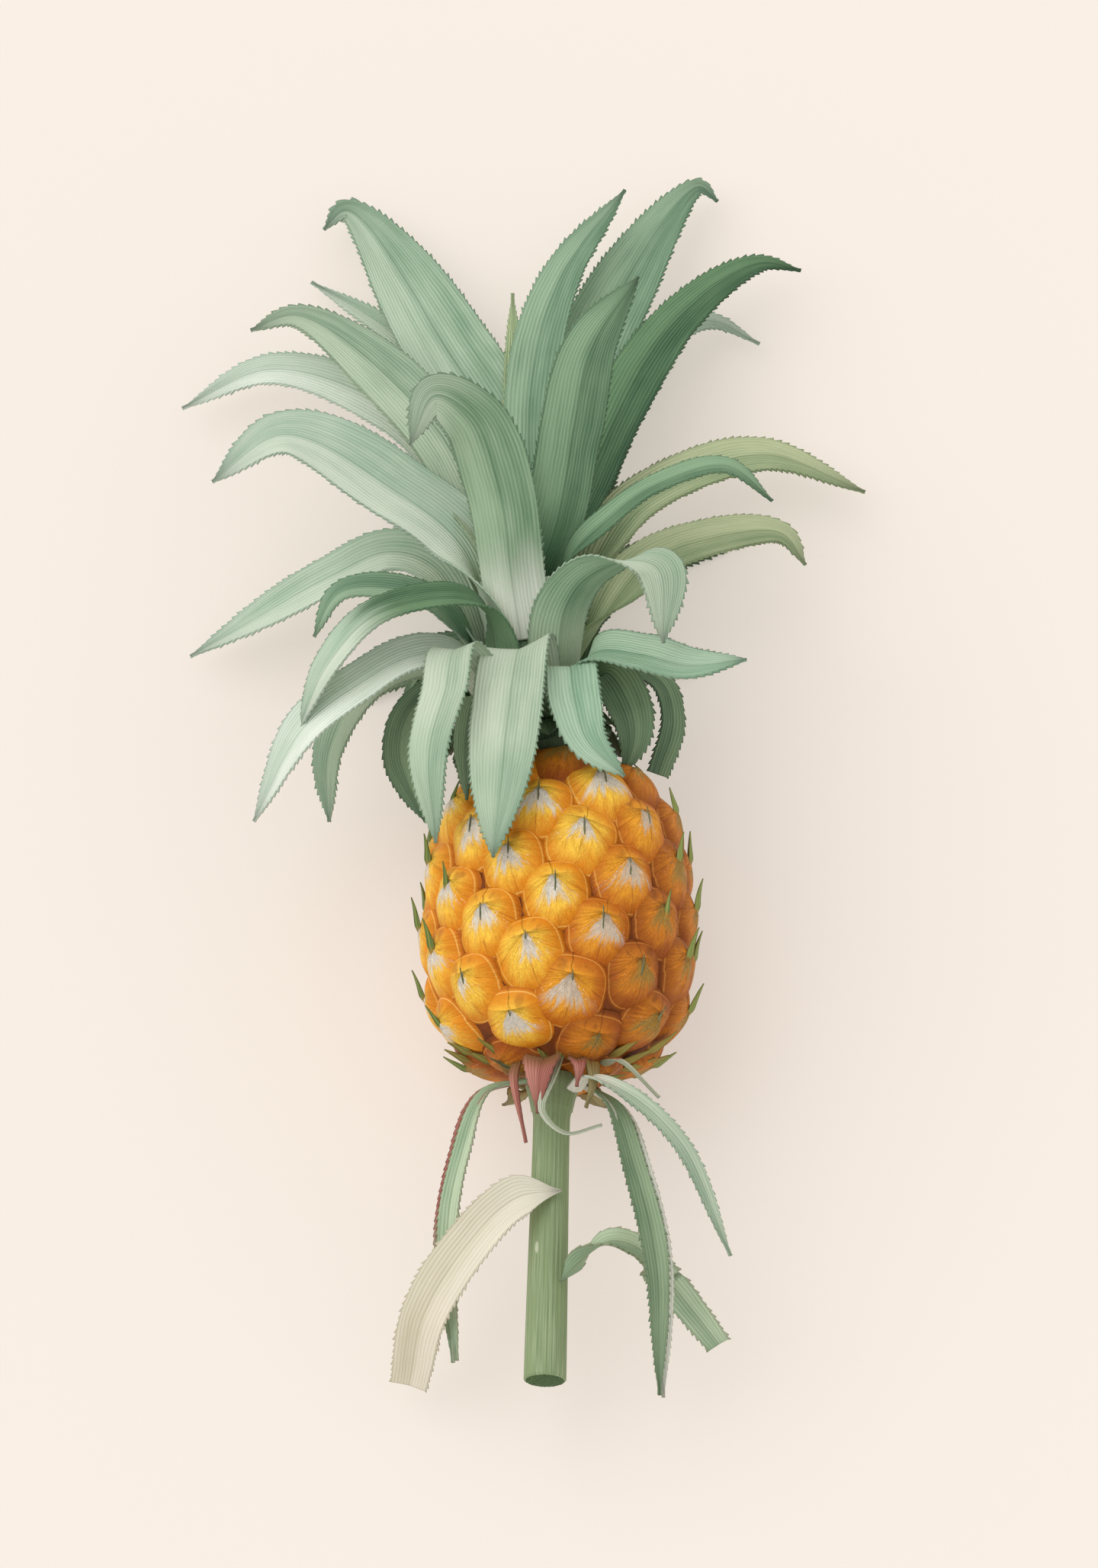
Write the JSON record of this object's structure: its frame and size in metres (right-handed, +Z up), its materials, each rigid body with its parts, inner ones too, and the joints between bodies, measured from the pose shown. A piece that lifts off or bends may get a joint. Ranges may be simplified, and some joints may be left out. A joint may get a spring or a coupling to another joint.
{
  "type": "cut pineapple fruit with crown and stalk",
  "caption": "A ripe pineapple fruit, cut with its leafy crown and a length of leafy stalk, lying on its back.",
  "frame": {"origin": "centre of the underside of the bounding box, on the surface it lies on", "axes": "+Y runs from the cut end of the stalk to the crown, +X to the right, +Z up out of the surface it lies on"},
  "size_m": [0.3024, 0.5854, 0.1352],
  "materials": {
    "rind": "satin",
    "stalk_skin": "satin",
    "core_green": "satin",
    "leaf_pale": "matte",
    "leaf_mid": "matte",
    "leaf_olive": "matte",
    "leaf_mint": "matte",
    "leaf_green": "matte",
    "leaf_dark": "matte",
    "stalk_leaf": "matte",
    "bract_pink": "matte"
  },
  "bodies": {
    "root": {"fruit": "rind", "stalk": "stalk_skin", "crown_core": "core_green", "front_1": "leaf_pale", "front_2": "leaf_pale", "front_3": "leaf_pale", "arch_1": "leaf_mid", "arch_2": "leaf_mid", "arch_3": "leaf_mid", "right_1": "leaf_olive", "left_1": "leaf_mint", "front_4": "leaf_pale", "upper_1": "leaf_green", "left_7": "leaf_mint", "right_4": "leaf_olive", "left_2": "leaf_mint", "right_2": "leaf_olive", "left_3": "leaf_mint", "left_5": "leaf_mint", "right_5": "leaf_olive", "upper_2": "leaf_green", "right_3": "leaf_olive", "left_4": "leaf_mint", "left_6": "leaf_mint", "right_6": "leaf_olive", "upper_3": "leaf_green", "upper_4": "leaf_green", "upper_5": "leaf_green", "upper_6": "leaf_green", "upper_7": "leaf_green", "upper_8": "leaf_green", "upper_9": "leaf_green", "upper_10": "leaf_green", "back_1": "leaf_dark", "back_2": "leaf_dark", "back_3": "leaf_dark", "back_4": "leaf_dark", "back_5": "leaf_dark", "back_6": "leaf_dark", "back_7": "leaf_dark", "back_8": "leaf_dark", "stalk_1": "stalk_leaf", "stalk_2": "stalk_leaf", "stalk_3": "stalk_leaf", "stalk_4": "stalk_leaf", "stalk_5": "stalk_leaf", "bract_1": "bract_pink", "bract_2": "bract_pink", "bract_3": "bract_pink", "bract_4": "bract_pink", "bract_5": "bract_pink", "bract_6": "bract_pink", "bract_7": "bract_pink", "bract_8": "bract_pink"}
  },
  "joints": []
}
